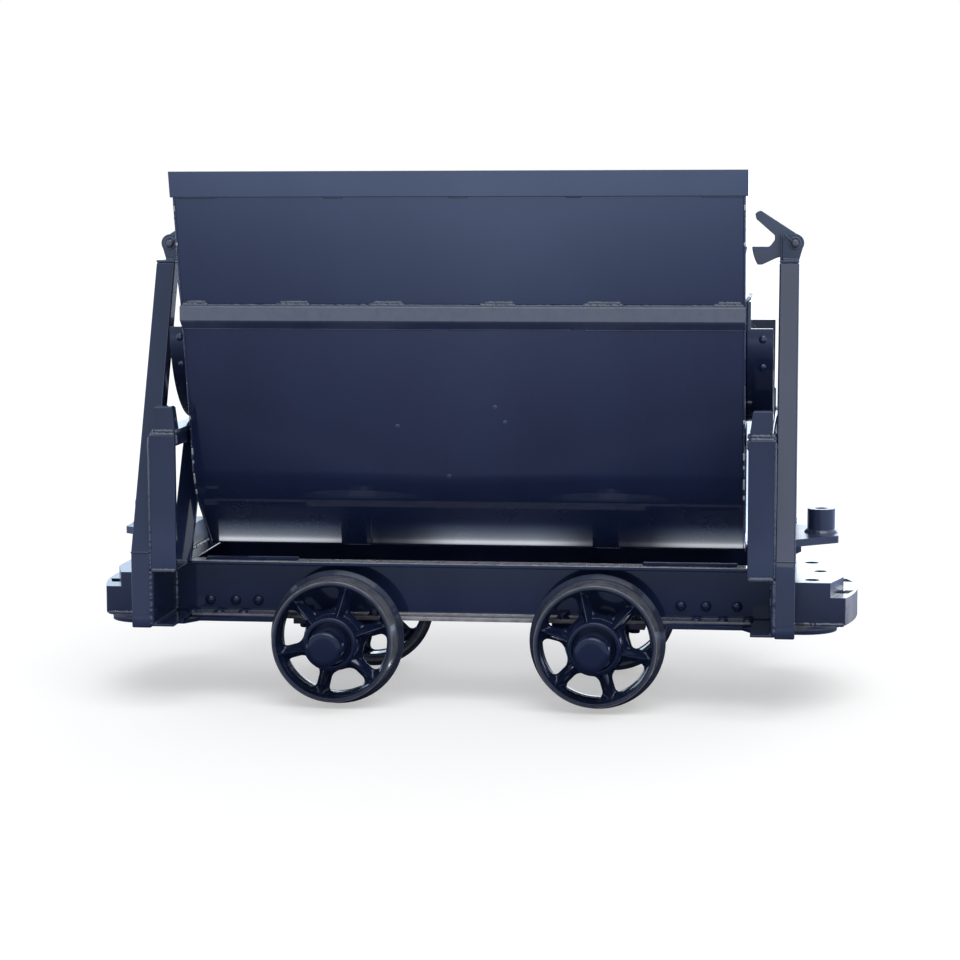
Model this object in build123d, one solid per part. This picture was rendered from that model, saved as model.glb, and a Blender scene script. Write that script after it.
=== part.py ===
"""Tipping ore cart for 600 mm gauge track: a V-bottomed bucket that rocks on two end rails.

Millimetres. X runs along the track, Y across it, Z up. The origin is on the floor under
the middle of the cart, at the height of the lowest point of the wheel flanges.
"""
from build123d import *
from math import atan, cos, radians, sin, tan
import os

os.makedirs("parts", exist_ok=True)

# Wheels and axles
TREAD_R = 160
TREAD_W = 72
TREAD_TAPER = 3
FLANGE_H = 15
FLANGE_T = 26
FLANGE_FACE_Y = 296
WHEELBASE = 675
RIM_T = 20
RIM_BEVEL = 4
WEB_T = 16
WEB_SET = 22
SPOKES = 6
SPOKE_W = 34
SPOKE_RIB_W = 12
SPOKE_RIB_TIP = 8
SPOKE_TURN = {"front": 46, "rear": 16}
WINDOW_GAP = 3
WINDOW_ROUND = 18
HUB_R = 71
HUB_PROUD = 34
HUB_INSET = 8
HUB_EDGE = 4
RECESS_R = 55
RECESS_D = 16
CAP_R = 46
CAP_L = 102
CAP_EDGE = 6
AXLE_R = 30
AXLE_CLEAR = 0.06

# Under-frame
CHANNEL_H = 150
CHANNEL_W = 58
CHANNEL_WEB = 9
CHANNEL_FLANGE = 11
CHANNEL_TOP_Z = 367
CHANNEL_OUT_Y = 260
END_BEAM_X = 728
END_BEAM_W = 60
END_BEAM_Y = 453
END_BEAM_FLANGE = 6
END_BEAM_FOOT_Z = 222
CROSS_W = 70
CROSS_FOOT_Z = 229
CROSS_TOP_Z = 300
PLATE_T = 10
PLATE_TAIL_X = 513
PLATE_FLARE_X = 705
PLATE_CORNER_X = 735
PLATE_SIDE_Y = 312
PLATE_NOSE_X = 945
PLATE_NOSE_R = 95
BOX_Y = 50
BOX_FOOT = 240
BOX_FOOT_T = 14
BOX_W = 120
BOX_SOLE = 76
BOX_SOLE_Z = 118

# End frames and rolling rails
LEG_W = 50
LEG_D = 50
LEG_FOOT_Z = 218
LEG_KINK_Z = 412
LEG_TOP_Z = 1137
LEG_TOP_Y = 131
POST_T = 16
POST_DROP = 10
RAIL_TOP_Z = 720
RAIL_H = 38
RAIL_W = 68
RAIL_WALL = 9
RAIL_ROUND = 10
PROP_X = 722
PROP_W = 54
PROP_FOOT_Y = 287
PROP_HEAD_Y = 111
PROP_T = 18
STOP_H = 62
STOP_W = 47
STOP_D = 44
STOP_TAPER = 8
STOP_EDGE = 4

# Bucket
BUCKET_X = 709
SHEET = 6
RIM_Y = 496
RIM_Z = 1371
SIDE_SLOPE = 14.5
KNEE_Z = 549
KNEE_R = 200
KEEL_Y = 100
KEEL_Z = 391
KEEL_R = 30
RIM_BAND_H = 64
RIM_BAND_T = 6
RIB_Z = 999
RIB_H = 38
RIB_T = 14
RIB_EDGE = 4
RIB_SLOPE = 21

# Rockers
ROCK_Z = 975
ROLL_GAP = 0.3
TREAD_PLATE_T = 20
TREAD_PLATE_W = 67
SEGMENT_T = 10
SEGMENT_LIFT = 67

# Bumpers and coupler jaws
BUMPER_X = 1000
BUMPER_HALF_W = 214
BUMPER_CORNER_X = 966
BUMPER_TOP_Z = 326
BUMPER_STEP = 38
STEP_CORNER_X = 927
STEP_NOSE_X = 962
STEP_NOSE_Y = 95
SLOT_L = 22
SLOT_Y = 76
SLOT_W = 58
SLOT_DEEP = 40
PIN_X = 903
PIN_HOLE_R = 16
CHAIN_HOLE_X = 881
CHAIN_HOLE_Y = 162
CHAIN_HOLE_R = 18
SLEEVE_R = 36
SLEEVE_TOP_Z = 493
JAW_TOP_Z = 430
JAW_T = 19
JAW_HALF_W = 162
JAW_SHOULDER_X = 838
JAW_END_X = 948
JAW_TIP_Y = 72
JAW_ROUND = 14
JAW_BACK_T = 12
JAW_KNEE_X = 852
JAW_KNEE_T = 12

# Latches
LATCH_X = 826
LATCH_Z = 1185
LATCH_PIN_R = 9
LATCH_BOSS_R = 24
LEVER_T = 20
PIN_CLEAR = 0.06
CHEEK_GAP = 6
CHEEK_T = 8
BRACKET_BASE = 6
TONGUE_REACH = 111
TONGUE_TOP_Z = 1176
TONGUE_FOOT_Z = 1129
LEVER_BELLY = [(742, 1129), (778, 1146), (802, 1153)]
LEVER_HANDLE = [(832, 1208), (738, 1269), (729, 1266), (723, 1260), (726, 1247),
                (774, 1205), (774, 1193), (764, 1180), (759, 1176)]

axle_z = TREAD_R + FLANGE_H
rim_front_y = FLANGE_FACE_Y + TREAD_W
flange_back_y = FLANGE_FACE_Y - FLANGE_T
channel_foot_z = CHANNEL_TOP_Z - CHANNEL_H
web_in = CHANNEL_OUT_Y - CHANNEL_W
leg_x = END_BEAM_X + END_BEAM_W
leg_out_x = leg_x + LEG_W


def save(name, *solids):
    """Write one named piece, made of one or more solids."""
    shape = solids[0] if len(solids) == 1 else Compound(children=list(solids))
    export_step(shape, f"parts/{name}.step")


def block(x0, x1, y0, y1, z0, z1):
    """A box between two corners."""
    return Pos((x0 + x1) / 2, (y0 + y1) / 2, (z0 + z1) / 2) * Box(x1 - x0, y1 - y0, z1 - z0)


def outline(points):
    """A flat face from corner points."""
    return make_face(Polyline(*points, close=True))


def along_x(face, x0, x1):
    """Extrude a face drawn in (y, z) from x0 to x1."""
    return extrude(Plane.YZ.offset(x0) * face, x1 - x0)


def along_z(face, z0, z1):
    """Extrude a face drawn in (x, y) from z0 to z1."""
    return extrude(Pos(0, 0, z0) * face, z1 - z0)


def across(face, y0, y1):
    """Extrude a face drawn in (x, z) from y0 to y1."""
    return Pos(0, y1, 0) * extrude(Plane.XZ * face, y1 - y0)


def upright_hole(x, y, radius):
    """A long vertical cutter."""
    return Pos(x, y, SLEEVE_TOP_Z / 2) * Cylinder(radius, 2 * SLEEVE_TOP_Z)


def cross_rod(x, z, radius, length):
    """A round bar across the cart, centred on its middle plane."""
    return Pos(x, 0, z) * Rot(90, 0, 0) * Cylinder(radius, length)


def ends(shape):
    """The same shape at the front end and, turned half round, at the rear end."""
    return shape, Rot(0, 0, 180) * shape


def sides(shape):
    """The same shape on the far and the near side."""
    return shape, mirror(shape, Plane.XZ)


def corners(shape):
    """The same shape at all four corners of the cart."""
    return [s for end in ends(shape) for s in sides(end)]


def save_ends(name, shape):
    """Write a piece for each end of the cart."""
    for end, solid in zip(("front", "rear"), ends(shape)):
        save(f"{name}_{end}", solid)


def wheel_window(web_face):
    """One opening between two spokes: part of a ring, with parallel spokes left beside it."""
    r_in = HUB_R + 3 * WINDOW_GAP
    r_out = TREAD_R - RIM_T - WINDOW_GAP
    half = radians(180 / SPOKES)
    apex = SPOKE_W / 2 / sin(half)
    reach = 2 * TREAD_R
    spread = (reach - apex) * tan(half)
    wedge = outline([(apex, 0), (reach, spread), (reach, -spread)])
    ring = (Circle(r_out) - Circle(r_in)) & wedge
    window = fillet(ring.vertices(), WINDOW_ROUND)
    return across(window, web_face - 1, web_face + WEB_T + 1)


def wheel():
    """A cast spoked wheel on the far side, drawn as radius and distance across the cart."""
    tip = TREAD_R + FLANGE_H
    rim_in = TREAD_R - RIM_T
    web_face = FLANGE_FACE_Y + WEB_SET
    hub_front = rim_front_y + HUB_PROUD
    hub_back = flange_back_y + HUB_INSET
    tread_front = TREAD_R - TREAD_TAPER
    rim = outline([(rim_in, flange_back_y + HUB_EDGE), (tip - FLANGE_H / 2, flange_back_y),
                   (tip, flange_back_y + FLANGE_H / 2), (tip, FLANGE_FACE_Y - FLANGE_H),
                   (TREAD_R, FLANGE_FACE_Y), (tread_front, rim_front_y - HUB_EDGE),
                   (tread_front - HUB_EDGE, rim_front_y), (rim_in + RIM_BEVEL, rim_front_y),
                   (rim_in, web_face + WEB_T)])
    web = outline([(HUB_R - 1, web_face), (rim_in + 1, web_face),
                   (rim_in + 1, web_face + WEB_T), (HUB_R - 1, web_face + WEB_T)])
    hub = outline([(AXLE_R, hub_back), (HUB_R - 2 * HUB_EDGE, hub_back), (HUB_R, web_face),
                   (HUB_R, hub_front - HUB_EDGE), (HUB_R - HUB_EDGE, hub_front), (RECESS_R, hub_front),
                   (RECESS_R, hub_front - RECESS_D), (AXLE_R, hub_front - RECESS_D)])
    body = revolve(rim, Axis.Y) + revolve(web, Axis.Y) + revolve(hub, Axis.Y)
    rib_foot = web_face + WEB_T
    rib_face = outline([(HUB_R - 1, rib_foot), (rim_in + 1, rib_foot),
                        (rim_in + 1, rib_foot + SPOKE_RIB_TIP), (HUB_R - 1, hub_front - 3 * HUB_EDGE)])
    rib = extrude(rib_face, SPOKE_RIB_W / 2, both=True)
    window = wheel_window(web_face)
    for i in range(SPOKES):
        body += Rot(0, i * 360 / SPOKES, 0) * rib
        body -= Rot(0, (i + 0.5) * 360 / SPOKES, 0) * window
    return body


def hub_cap():
    """The long grease cap that stands in the hub's recess."""
    seat = rim_front_y + HUB_PROUD - RECESS_D
    front = seat + CAP_L
    face = outline([(0, seat), (CAP_R, seat), (CAP_R, front - CAP_EDGE),
                    (CAP_R - CAP_EDGE, front), (0, front)])
    return revolve(face, Axis.Y)


def wheelset(end, x):
    """An axle with its two wheels and caps, which turn as one."""
    at = Pos(x, 0, axle_z) * Rot(0, -SPOKE_TURN[end], 0)
    seat = rim_front_y + HUB_PROUD - RECESS_D
    save(f"axle_{end}", at * cross_rod(0, 0, AXLE_R, 2 * seat))
    save(f"wheels_{end}", *[at * w for w in sides(wheel())])
    save(f"hub_caps_{end}", *[at * c for c in sides(hub_cap())])


wheelset("front", WHEELBASE / 2)
wheelset("rear", -WHEELBASE / 2)

# Side channels, flanges outwards, with webs that reach between the end beams' flanges
flange_top = CHANNEL_TOP_Z - CHANNEL_FLANGE
flange_foot = channel_foot_z + CHANNEL_FLANGE
beam_roof = CHANNEL_TOP_Z - END_BEAM_FLANGE
beam_floor = END_BEAM_FOOT_Z + END_BEAM_FLANGE
channel = outline([(web_in, channel_foot_z), (CHANNEL_OUT_Y, channel_foot_z), (CHANNEL_OUT_Y, flange_foot),
                   (web_in + CHANNEL_WEB, flange_foot), (web_in + CHANNEL_WEB, flange_top),
                   (CHANNEL_OUT_Y, flange_top), (CHANNEL_OUT_Y, CHANNEL_TOP_Z), (web_in, CHANNEL_TOP_Z)])
web_end = leg_x - CHANNEL_WEB
side_channel = (along_x(channel, -END_BEAM_X, END_BEAM_X)
                + block(-web_end, web_end, web_in, web_in + CHANNEL_WEB, beam_floor, beam_roof))
save("side_channels", *sides(side_channel))

# End beams, channels across the cart with their webs outermost
beam = outline([(END_BEAM_X, END_BEAM_FOOT_Z), (leg_x, END_BEAM_FOOT_Z), (leg_x, CHANNEL_TOP_Z),
                (END_BEAM_X, CHANNEL_TOP_Z), (END_BEAM_X, beam_roof), (web_end, beam_roof),
                (web_end, beam_floor), (END_BEAM_X, beam_floor)])
save("end_beams", *ends(across(beam, -END_BEAM_Y, END_BEAM_Y)))

# Cross members between the side channels, over the axles
cross = block((WHEELBASE - CROSS_W) / 2, (WHEELBASE + CROSS_W) / 2, -web_in, web_in,
              CROSS_FOOT_Z, CROSS_TOP_Z)
save("cross_members", *ends(cross))

# Plates under each end: tails along the side channels and a rounded nose under the bumper
half_plate = outline([(END_BEAM_X, 0), (END_BEAM_X, web_in), (PLATE_TAIL_X, web_in),
                      (PLATE_TAIL_X, CHANNEL_OUT_Y), (PLATE_FLARE_X, CHANNEL_OUT_Y),
                      (PLATE_CORNER_X, PLATE_SIDE_Y), (PLATE_NOSE_X, PLATE_SIDE_Y), (PLATE_NOSE_X, 0)])
nose_corner = half_plate.vertices().sort_by_distance((PLATE_NOSE_X, PLATE_SIDE_Y))[0]
half_plate = fillet(nose_corner, PLATE_NOSE_R)
end_plate = along_z(half_plate + mirror(half_plate, Plane.XZ), channel_foot_z - PLATE_T, channel_foot_z)
end_plate -= upright_hole(PIN_X, 0, PIN_HOLE_R)
for side in (1, -1):
    end_plate -= upright_hole(CHAIN_HOLE_X, side * CHAIN_HOLE_Y, CHAIN_HOLE_R)
save("end_plates", *ends(end_plate))

# Axle boxes: castings with a wide foot bolted under the side channel
foot_under_z = channel_foot_z - BOX_FOOT_T
half_box = [(BOX_FOOT / 2, channel_foot_z), (BOX_FOOT / 2, foot_under_z), (BOX_W / 2, foot_under_z),
            (BOX_W / 2, axle_z - AXLE_R), (BOX_SOLE / 2, BOX_SOLE_Z)]
box_face = outline(half_box + [(-x, z) for x, z in reversed(half_box)])
box_y = (web_in + CHANNEL_OUT_Y - BOX_Y) / 2
axle_bore = cross_rod(0, axle_z, AXLE_R + AXLE_CLEAR, 2 * END_BEAM_Y)
axle_box = across(box_face, box_y, box_y + BOX_Y) - axle_bore
save("axle_boxes", *corners(Pos(WHEELBASE / 2, 0, 0) * axle_box))

# End frames: bent box-section legs that lean in and meet a top bar
lean = (END_BEAM_Y - LEG_TOP_Y) / (LEG_TOP_Z - LEG_KINK_Z)
leg_run = LEG_D / cos(atan(lean))
bar_foot_z = LEG_TOP_Z - LEG_D
outer_half = [(END_BEAM_Y, LEG_FOOT_Z), (END_BEAM_Y, LEG_KINK_Z), (LEG_TOP_Y, LEG_TOP_Z)]
inner_y = END_BEAM_Y - LEG_D
inner_half = [(END_BEAM_Y - leg_run - (bar_foot_z - LEG_KINK_Z) * lean, bar_foot_z),
              (inner_y, LEG_KINK_Z - (leg_run - LEG_D) / lean), (inner_y, LEG_FOOT_Z)]
frame_outer = outer_half + [(-y, z) for y, z in reversed(outer_half)]
frame_inner = [(-y, z) for y, z in reversed(inner_half)] + inner_half
save_ends("end_frame", along_x(outline(frame_outer + frame_inner), leg_x, leg_out_x))

# Rolling rails: inverted channels with rounded shoulders, between end posts and on leaning props
rail_x = leg_x - RAIL_W / 2
rail_end_y = END_BEAM_Y - POST_T
rail_foot_z = RAIL_TOP_Z - RAIL_H
rail_skin = fillet(Rectangle(RAIL_W, RAIL_H).vertices().group_by(Axis.Y)[-1], RAIL_ROUND)
rail_hollow = Pos(0, -RAIL_WALL / 2) * Rectangle(RAIL_W - 2 * RAIL_WALL, RAIL_H - RAIL_WALL)
rail_face = Pos(rail_x, RAIL_TOP_Z - RAIL_H / 2) * (rail_skin - rail_hollow)
save_ends("rolling_rail", across(rail_face, -rail_end_y, rail_end_y))
post = block(leg_x - RAIL_W, leg_x, rail_end_y, END_BEAM_Y, CHANNEL_TOP_Z, RAIL_TOP_Z - POST_DROP)
save("rail_posts", *corners(post))
prop_face = outline([(PROP_FOOT_Y, CHANNEL_TOP_Z), (PROP_HEAD_Y, rail_foot_z),
                     (PROP_HEAD_Y - PROP_T, rail_foot_z), (PROP_FOOT_Y - PROP_T, CHANNEL_TOP_Z)])
save("rail_props", *corners(along_x(prop_face, PROP_X, PROP_X + PROP_W)))

# Stops on the rails' ends, cast blocks that taper towards the bucket and lean back from the end
stop_x = [rail_x - STOP_W / 2, rail_x + STOP_W / 2]
stop_top_z = RAIL_TOP_Z + STOP_H
stop_front = outline([(stop_x[0] - STOP_TAPER, RAIL_TOP_Z), (stop_x[1], RAIL_TOP_Z),
                      (stop_x[1], stop_top_z), (stop_x[0], stop_top_z)])
stop_side = outline([(rail_end_y - STOP_D, RAIL_TOP_Z), (rail_end_y, RAIL_TOP_Z),
                     (rail_end_y - STOP_TAPER, stop_top_z), (rail_end_y - STOP_D, stop_top_z)])
stop = across(stop_front, rail_end_y - STOP_D, rail_end_y) & along_x(stop_side, leg_x - RAIL_W, leg_x)
stop = chamfer(stop.faces().sort_by(Axis.Z)[-1].edges(), STOP_EDGE)
save("rail_stops", *corners(stop))

# Bucket section: steep sides, rounded knees and a narrow flat keel
side_run = tan(radians(SIDE_SLOPE))


def side_y(z):
    """Half width of the bucket's straight side at a height."""
    return RIM_Y - (RIM_Z - z) * side_run


def section(inset):
    """The bucket's section as a face, set in from its outer line by a distance."""
    above = RIM_Z + 10 * inset
    half = [(side_y(above), above), (side_y(KNEE_Z), KNEE_Z), (KEEL_Y, KEEL_Z)]
    other_half = [(-y, z) for y, z in reversed(half)]
    path = FilletPolyline(*half, *other_half, radius=[KNEE_R, KEEL_R, KEEL_R, KNEE_R])
    face = make_face(path + Line((-side_y(above), above), (side_y(above), above)))
    if inset:
        face = offset(face, -inset) & Pos(0, RIM_Z / 2) * Rectangle(4 * RIM_Y, RIM_Z)
    return face


outer_face = section(0)
inner_face = section(SHEET)
save("bucket_sheet", along_x(outer_face - inner_face, SHEET - BUCKET_X, BUCKET_X - SHEET))
save_ends("bucket_end", along_x(outer_face, BUCKET_X - SHEET, BUCKET_X))

# Rim band, a flat bar bent round the bucket's mouth
band_foot = RIM_Z - RIM_BAND_H


def mouth(z0, z1, grow):
    """A face between two heights that follows the bucket's sides, grown outwards."""
    y0, y1 = side_y(z0) + grow, side_y(z1) + grow
    return outline([(y0, z0), (y1, z1), (-y1, z1), (-y0, z0)])


band = (along_x(mouth(band_foot, RIM_Z, RIM_BAND_T), -BUCKET_X - RIM_BAND_T, BUCKET_X + RIM_BAND_T)
        - along_x(mouth(band_foot - 1, RIM_Z + 1, 0), -BUCKET_X, BUCKET_X))
save("rim_band", band)

# Ribs along both sides: an upright face, a broken top edge and a sloping underside
rib_top = RIB_Z + RIB_H
rib_foot_z = RIB_Z - RIB_SLOPE
rib_out = side_y(rib_top) + RIB_T
rib_face = outline([(side_y(rib_foot_z), rib_foot_z), (rib_out, RIB_Z), (rib_out, rib_top - RIB_EDGE),
                    (rib_out - RIB_EDGE, rib_top), (side_y(rib_top), rib_top)])
save("side_ribs", *sides(along_x(rib_face, -BUCKET_X, BUCKET_X)))

# Rockers: a segment plate on each end of the bucket, edged by a curved tread that rolls on the rail
tread_out = ROCK_Z - RAIL_TOP_Z - ROLL_GAP
tread_in = tread_out - TREAD_PLATE_T
below = Pos(0, ROCK_Z - tread_out) * Rectangle(4 * tread_out, 2 * tread_out)
disc = Pos(0, ROCK_Z) * Circle(tread_in)
segment = disc & (Pos(0, SEGMENT_LIFT) * below)
tread = (Pos(0, ROCK_Z) * Circle(tread_out) - disc) & below
save_ends("rocker_plate", along_x(segment, BUCKET_X, BUCKET_X + SEGMENT_T))
save_ends("rocker_tread", along_x(tread, BUCKET_X, BUCKET_X + TREAD_PLATE_W))

# Bumper castings: a curved nose with a raised rear deck, holes for the pin and two chains
deck_z = BUMPER_TOP_Z - BUMPER_STEP
corner = (BUMPER_CORNER_X, BUMPER_HALF_W)
near_corner = (BUMPER_CORNER_X, -BUMPER_HALF_W)
nose_line = (Polyline(near_corner, (leg_x, -BUMPER_HALF_W), (leg_x, BUMPER_HALF_W), corner)
             + ThreePointArc(corner, (BUMPER_X, 0), near_corner))
deck = outline([(leg_x, -BUMPER_HALF_W), (STEP_CORNER_X, -BUMPER_HALF_W),
                (STEP_NOSE_X, -STEP_NOSE_Y), (STEP_NOSE_X, STEP_NOSE_Y),
                (STEP_CORNER_X, BUMPER_HALF_W), (leg_x, BUMPER_HALF_W)])
bumper = along_z(make_face(nose_line), channel_foot_z, deck_z) + along_z(deck, deck_z, BUMPER_TOP_Z)
step_lean = (STEP_NOSE_X - STEP_CORNER_X) / (BUMPER_HALF_W - STEP_NOSE_Y)
slot_end_y = SLOT_Y + SLOT_W
slot_x = [STEP_CORNER_X + (BUMPER_HALF_W - y) * step_lean for y in (SLOT_Y, slot_end_y)]
slot_plan = outline([(slot_x[0], SLOT_Y), (slot_x[0] + SLOT_L, SLOT_Y),
                     (slot_x[1] + SLOT_L, slot_end_y), (slot_x[1], slot_end_y)])
slot = along_z(slot_plan, deck_z - SLOT_DEEP, deck_z)
bumper -= upright_hole(PIN_X, 0, PIN_HOLE_R)
for side, pocket in zip((1, -1), sides(slot)):
    bumper -= upright_hole(CHAIN_HOLE_X, side * CHAIN_HOLE_Y, CHAIN_HOLE_R)
    bumper -= pocket
save_ends("bumper", bumper)

# Upper coupler jaws: a tapered plate on a back plate and two knees, with the pin's sleeve
jaw_foot_z = JAW_TOP_Z - JAW_T
back_x = leg_x - JAW_BACK_T
jaw_plan = outline([(back_x, -JAW_HALF_W), (JAW_SHOULDER_X, -JAW_HALF_W), (JAW_END_X, -JAW_TIP_Y),
                    (JAW_END_X, JAW_TIP_Y), (JAW_SHOULDER_X, JAW_HALF_W), (back_x, JAW_HALF_W)])
jaw_plan = fillet(jaw_plan.vertices().group_by(Axis.X)[-1], JAW_ROUND)
jaw = along_z(jaw_plan, jaw_foot_z, JAW_TOP_Z)
jaw += block(back_x, leg_x, -JAW_HALF_W, JAW_HALF_W, CHANNEL_TOP_Z, jaw_foot_z)
knee_face = outline([(leg_x, CHANNEL_TOP_Z), (JAW_KNEE_X, jaw_foot_z - JAW_KNEE_T),
                     (JAW_KNEE_X, jaw_foot_z), (leg_x, jaw_foot_z)])
knee = across(knee_face, JAW_HALF_W - JAW_KNEE_T, JAW_HALF_W)
for k in sides(knee):
    jaw += k
jaw += Pos(PIN_X, 0, (JAW_TOP_Z + SLEEVE_TOP_Z) / 2) * Cylinder(SLEEVE_R, SLEEVE_TOP_Z - JAW_TOP_Z)
save_ends("coupler_jaw", jaw - upright_hole(PIN_X, 0, PIN_HOLE_R))

# Latches on the end frames: a bracket of two cheeks, a pin, and a lever with tongue and handle
base_top = LEG_TOP_Z + BRACKET_BASE
cheek_y = LEVER_T / 2 + CHEEK_GAP
cheek_out_y = cheek_y + CHEEK_T
boss = Pos(LATCH_X, LATCH_Z) * Circle(LATCH_BOSS_R)
cheek_face = boss + outline([(leg_x, base_top), (leg_out_x, base_top),
                             (LATCH_X + LATCH_BOSS_R, LATCH_Z), (LATCH_X, LATCH_Z + LATCH_BOSS_R),
                             (leg_x, LATCH_Z + LATCH_BOSS_R)])
bracket = block(leg_x, leg_out_x, -LEG_TOP_Y, LEG_TOP_Y, LEG_TOP_Z, base_top)
for cheek in sides(across(cheek_face, cheek_y, cheek_out_y)):
    bracket += cheek
save_ends("latch_bracket", bracket - cross_rod(LATCH_X, LATCH_Z, LATCH_PIN_R, 2 * LEG_TOP_Y))
save_ends("latch_pin", cross_rod(LATCH_X, LATCH_Z, LATCH_PIN_R, 2 * cheek_out_y))


def tongue_x(z):
    """The tongue's front at a height, on an arc about the latch pin, so it lifts clear of the bucket."""
    return LATCH_X - (TONGUE_REACH ** 2 - (z - LATCH_Z) ** 2) ** 0.5


mid_z = (TONGUE_TOP_Z + TONGUE_FOOT_Z) / 2
tongue_top, tongue_mid, tongue_foot = [(tongue_x(z), z) for z in (TONGUE_TOP_Z, mid_z, TONGUE_FOOT_Z)]
lever_line = (ThreePointArc(tongue_top, tongue_mid, tongue_foot)
              + Polyline(tongue_foot, *LEVER_BELLY, (LATCH_X, LATCH_Z), *LEVER_HANDLE, tongue_top))
lever_face = make_face(lever_line) + boss
lever = across(lever_face, -LEVER_T / 2, LEVER_T / 2)
lever -= cross_rod(LATCH_X, LATCH_Z, LATCH_PIN_R + PIN_CLEAR, 2 * LEG_TOP_Y)
save_ends("latch_lever", lever)
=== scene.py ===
"""Looks of the tipping ore cart: enamel, rivets, bolts, weld beads and cast wheels on the CAD frame."""
from math import cos, pi, radians, sin, tan

import bmesh
import bpy
import numpy as np
from mathutils import Matrix, Vector


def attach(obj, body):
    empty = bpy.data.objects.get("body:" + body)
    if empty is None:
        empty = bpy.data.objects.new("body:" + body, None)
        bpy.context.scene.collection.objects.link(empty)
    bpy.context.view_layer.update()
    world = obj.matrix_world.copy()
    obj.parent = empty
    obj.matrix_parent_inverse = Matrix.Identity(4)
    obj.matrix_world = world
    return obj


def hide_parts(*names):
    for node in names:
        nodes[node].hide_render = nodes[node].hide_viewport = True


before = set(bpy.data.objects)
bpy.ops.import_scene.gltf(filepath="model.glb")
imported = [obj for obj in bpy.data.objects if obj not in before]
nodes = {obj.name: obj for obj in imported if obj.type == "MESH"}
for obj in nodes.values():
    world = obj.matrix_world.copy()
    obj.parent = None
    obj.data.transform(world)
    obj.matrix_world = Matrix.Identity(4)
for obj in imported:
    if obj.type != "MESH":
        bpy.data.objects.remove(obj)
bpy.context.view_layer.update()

# Rolled under-frame: two side channels, two end beams and two cross members of mill steel,
# welded and riveted together, then sprayed with a thick gloss coat of blue-black enamel.
# Dust lies on what faces up, and pale bands on the channels' top faces and lower flanges are painted
# highlights.
DUST_COLOUR = (0.21, 0.2, 0.185, 1)
DUST_HAZE = 0.6
SMEAR = 0.08


def effect_group(name, inputs, outputs):
    """An empty shader group with sockets from rows of (name, kind), and what fills it: a call for a new node,
    one for a link, and the nodes of its inputs and outputs."""
    group = bpy.data.node_groups.new(name, "ShaderNodeTree")
    for way, rows in (("INPUT", inputs), ("OUTPUT", outputs)):
        for label, kind in rows:
            group.interface.new_socket(label, in_out=way, socket_type=f"NodeSocket{kind}")
    node = group.nodes.new
    return group, node, group.links.new, node("NodeGroupInput"), node("NodeGroupOutput")


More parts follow.
